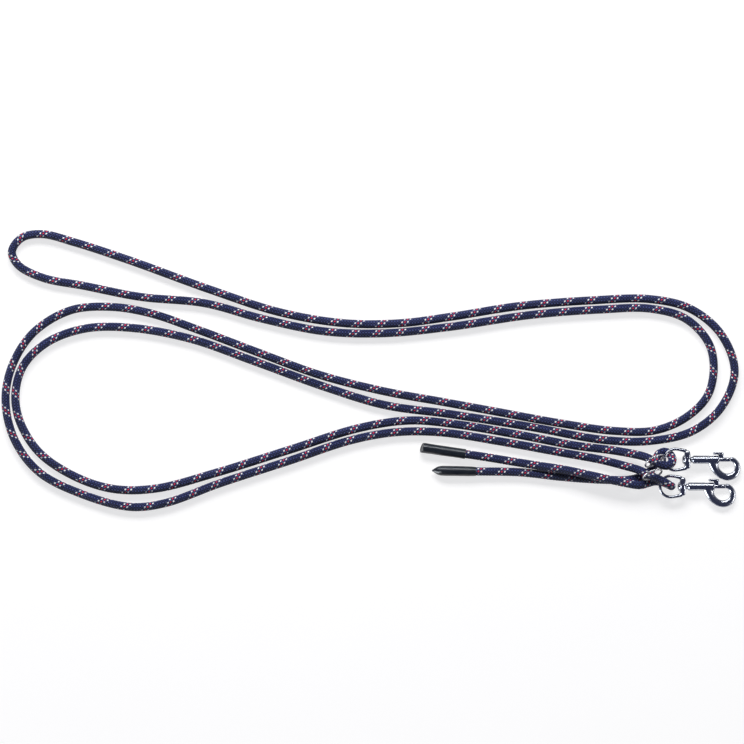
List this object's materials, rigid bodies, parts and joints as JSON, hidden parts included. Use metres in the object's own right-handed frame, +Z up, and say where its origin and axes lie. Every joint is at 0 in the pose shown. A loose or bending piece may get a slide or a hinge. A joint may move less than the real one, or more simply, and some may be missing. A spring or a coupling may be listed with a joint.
{
  "type": "lead rope",
  "caption": "Long braided rope laid in loops, knotted at each end through the swivel eye of a sprung bolt snap, with a wire slip ring and a sleeved tip by each snap.",
  "frame": {"origin": "on the surface that the rope lies on, under the middle of the whole layout", "axes": "+X along the layout's length towards the snaps, +Y across it towards the long upper loop, +Z up"},
  "size_m": [0.8136, 0.3092, 0.0327],
  "materials": {
    "rope_braid": "tight navy braid with a white and crimson tracer band winding round it",
    "shrink_sleeve": "satin black shrink tube that shows the braid under it",
    "chrome_plate": "bright plating on a rounded casting, slightly dulled in its corners",
    "ring_wire": "bright plated round wire",
    "spring_steel": "drawn spring wire"
  },
  "bodies": {
    "rope": {"braided_rope": "rope_braid", "rope_tip_sleeve_1": "shrink_sleeve", "rope_tip_sleeve_2": "shrink_sleeve"},
    "snap_1_eye": {"snap_1_swivel_eye": "chrome_plate"},
    "snap_1_hook": {"snap_1_hook_body": "chrome_plate", "snap_1_swivel_pin": "chrome_plate", "snap_1_spring": "spring_steel"},
    "snap_1_plunger": {"snap_1_bolt": "chrome_plate", "snap_1_thumb_knob": "chrome_plate"},
    "ring_1": {"slip_ring_1": "ring_wire"},
    "snap_2_eye": {"snap_2_swivel_eye": "chrome_plate"},
    "snap_2_hook": {"snap_2_hook_body": "chrome_plate", "snap_2_swivel_pin": "chrome_plate", "snap_2_spring": "spring_steel"},
    "snap_2_plunger": {"snap_2_bolt": "chrome_plate", "snap_2_thumb_knob": "chrome_plate"},
    "ring_2": {"slip_ring_2": "ring_wire"}
  },
  "joints": [
    {"name": "snap_1_swing", "type": "hinge", "parent": "rope", "child": "snap_1_eye", "pos_m": [0.33046, -0.098, 0.01098], "axis": [0, 0, 1], "range_deg": [0, 10]},
    {"name": "snap_1_swivel", "type": "hinge", "parent": "snap_1_eye", "child": "snap_1_hook", "pos_m": [0.3225, -0.098, 0.0118], "axis": [0.9947, 0, -0.1028], "continuous": true},
    {"name": "snap_1_bolt_slide", "type": "slide", "parent": "snap_1_hook", "child": "snap_1_plunger", "axis": [-0.9947, 0, 0.1028], "range_m": [0, 0.01], "stiffness_N_per_m": 300, "springref_m": -0.008, "deforming": ["snap_1_spring"]},
    {"name": "slip_ring_1_slide", "type": "slide", "parent": "rope", "child": "ring_1", "axis": [-0.8081, 0.5051, -0.303], "range_m": [0, 0.002]},
    {"name": "snap_2_swing", "type": "hinge", "parent": "rope", "child": "snap_2_eye", "pos_m": [0.32546, -0.1275, 0.01078], "axis": [0, 0, 1], "range_deg": [-12, 0]},
    {"name": "snap_2_swivel", "type": "hinge", "parent": "snap_2_eye", "child": "snap_2_hook", "pos_m": [0.3175, -0.1275, 0.0116], "axis": [0.9947, 0, -0.1028], "range_deg": [-120, 120]},
    {"name": "snap_2_bolt_slide", "type": "slide", "parent": "snap_2_hook", "child": "snap_2_plunger", "axis": [-0.9947, 0, 0.1028], "range_m": [0, 0.01], "stiffness_N_per_m": 300, "springref_m": -0.008, "deforming": ["snap_2_spring"]},
    {"name": "slip_ring_2_slide", "type": "slide", "parent": "rope", "child": "ring_2", "axis": [-0.8588, 0.4294, -0.2796], "range_m": [0, 0.002]}
  ]
}
